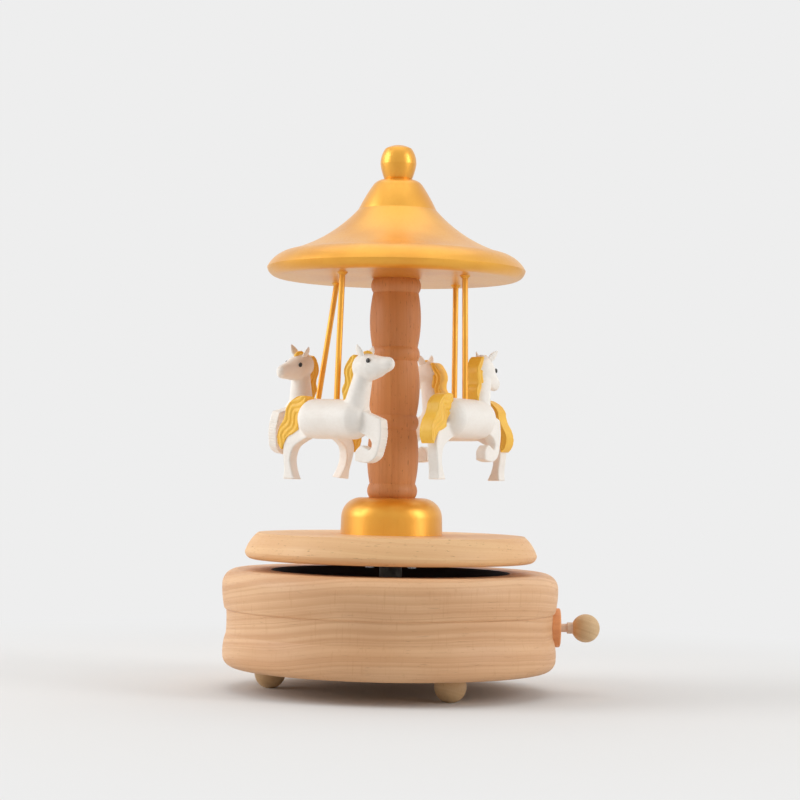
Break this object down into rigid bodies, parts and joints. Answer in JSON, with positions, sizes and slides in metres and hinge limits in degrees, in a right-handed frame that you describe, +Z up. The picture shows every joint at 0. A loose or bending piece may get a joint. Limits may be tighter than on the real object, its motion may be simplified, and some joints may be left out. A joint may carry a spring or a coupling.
{
  "type": "wind up carousel music box",
  "caption": "Wooden carousel music box: a turned base holds a spring driven comb movement that turns a disc, column and roof with horses hung on wires; a push-pull knob stops it.",
  "frame": {"origin": "point on the surface it stands on, on the carousel's axis", "axes": "+Z up along the carousel's axis, +X towards the stop knob"},
  "size_m": [0.1339, 0.1188, 0.1937],
  "materials": {
    "beech": "clear satin lacquer over turned beech",
    "turntable_beech": "clear satin lacquer over turned beech",
    "column_wood": "satin lacquer over a redder wood",
    "ball_wood": "bare smooth wood",
    "rod_wood": "bare smooth wood",
    "washer_wood": "orange tinted lacquer",
    "gold_paint": "metallic gold paint, semi-gloss",
    "white_paint": "white paint, semi-gloss",
    "hair_gold": "yellow gold paint, satin",
    "plate_steel": "plated steel",
    "gear_brass": "machined brass",
    "arbor_steel": "ground steel",
    "screw_steel": "plated steel",
    "felt": "wool felt"
  },
  "bodies": {
    "base": {"base_body": "beech", "foot_left": "ball_wood", "foot_front": "ball_wood", "foot_rear": "ball_wood", "switch_washer": "washer_wood", "bedplate": "plate_steel", "bedplate_screws": "screw_steel", "spring_housing": "plate_steel", "housing_screws": "screw_steel", "mainspring": "arbor_steel", "bearing_inner": "gear_brass", "bearing_outer": "gear_brass", "bearing_screws": "screw_steel", "governor_frame": "gear_brass", "comb": "arbor_steel", "comb_base": "gear_brass", "comb_screws": "screw_steel"},
    "carousel": {"turntable": "turntable_beech", "boss": "gold_paint", "column": "column_wood", "canopy": "gold_paint", "finial": "gold_paint", "winding_arbor": "arbor_steel", "crown_wheel": "gear_brass", "drive_hub": "plate_steel", "hub_screws": "screw_steel", "pole_collars": "gold_paint", "pole_1": "gold_paint", "pole_2": "gold_paint", "pole_3": "gold_paint", "pole_4": "gold_paint", "horse_1": "white_paint", "horse_2": "white_paint", "horse_3": "white_paint", "horse_4": "white_paint", "legs_1": "white_paint", "legs_2": "white_paint", "legs_3": "white_paint", "legs_4": "white_paint", "mane_1": "hair_gold", "mane_2": "hair_gold", "mane_3": "hair_gold", "mane_4": "hair_gold", "tail_1": "hair_gold", "tail_2": "hair_gold", "tail_3": "hair_gold", "tail_4": "hair_gold"},
    "cylinder": {"pin_cylinder": "gear_brass", "cylinder_pinion": "gear_brass", "governor_gear": "gear_brass"},
    "transfer": {"transfer_arbor": "arbor_steel", "worm_wheel": "gear_brass"},
    "governor": {"governor_worm": "arbor_steel", "governor_fan": "gear_brass"},
    "stop_switch": {"switch_rod": "rod_wood", "switch_knob": "ball_wood", "brake_wire": "arbor_steel", "brake_pad": "felt"}
  },
  "joints": [
    {"name": "carousel_spin", "type": "hinge", "parent": "base", "child": "carousel", "pos_m": [0, 0, 0], "axis": [0, 0, 1], "continuous": true},
    {"name": "cylinder_spin", "type": "hinge", "parent": "base", "child": "cylinder", "pos_m": [0, 0, 0.027], "axis": [1, 0, 0], "continuous": true},
    {"name": "transfer_spin", "type": "hinge", "parent": "base", "child": "transfer", "pos_m": [0, -0.00719, 0.0235], "axis": [1, 0, 0], "continuous": true},
    {"name": "governor_spin", "type": "hinge", "parent": "base", "child": "governor", "pos_m": [0.033, -0.01179, 0], "axis": [0, 0, 1], "continuous": true},
    {"name": "stop_slide", "type": "slide", "parent": "base", "child": "stop_switch", "axis": [1, 0, 0], "range_m": [-0.002, 0]}
  ],
  "couplings": [
    {"joint": "cylinder_spin", "follows": "carousel_spin", "ratio": 2},
    {"joint": "transfer_spin", "follows": "carousel_spin", "ratio": -8},
    {"joint": "governor_spin", "follows": "carousel_spin", "ratio": -128}
  ]
}
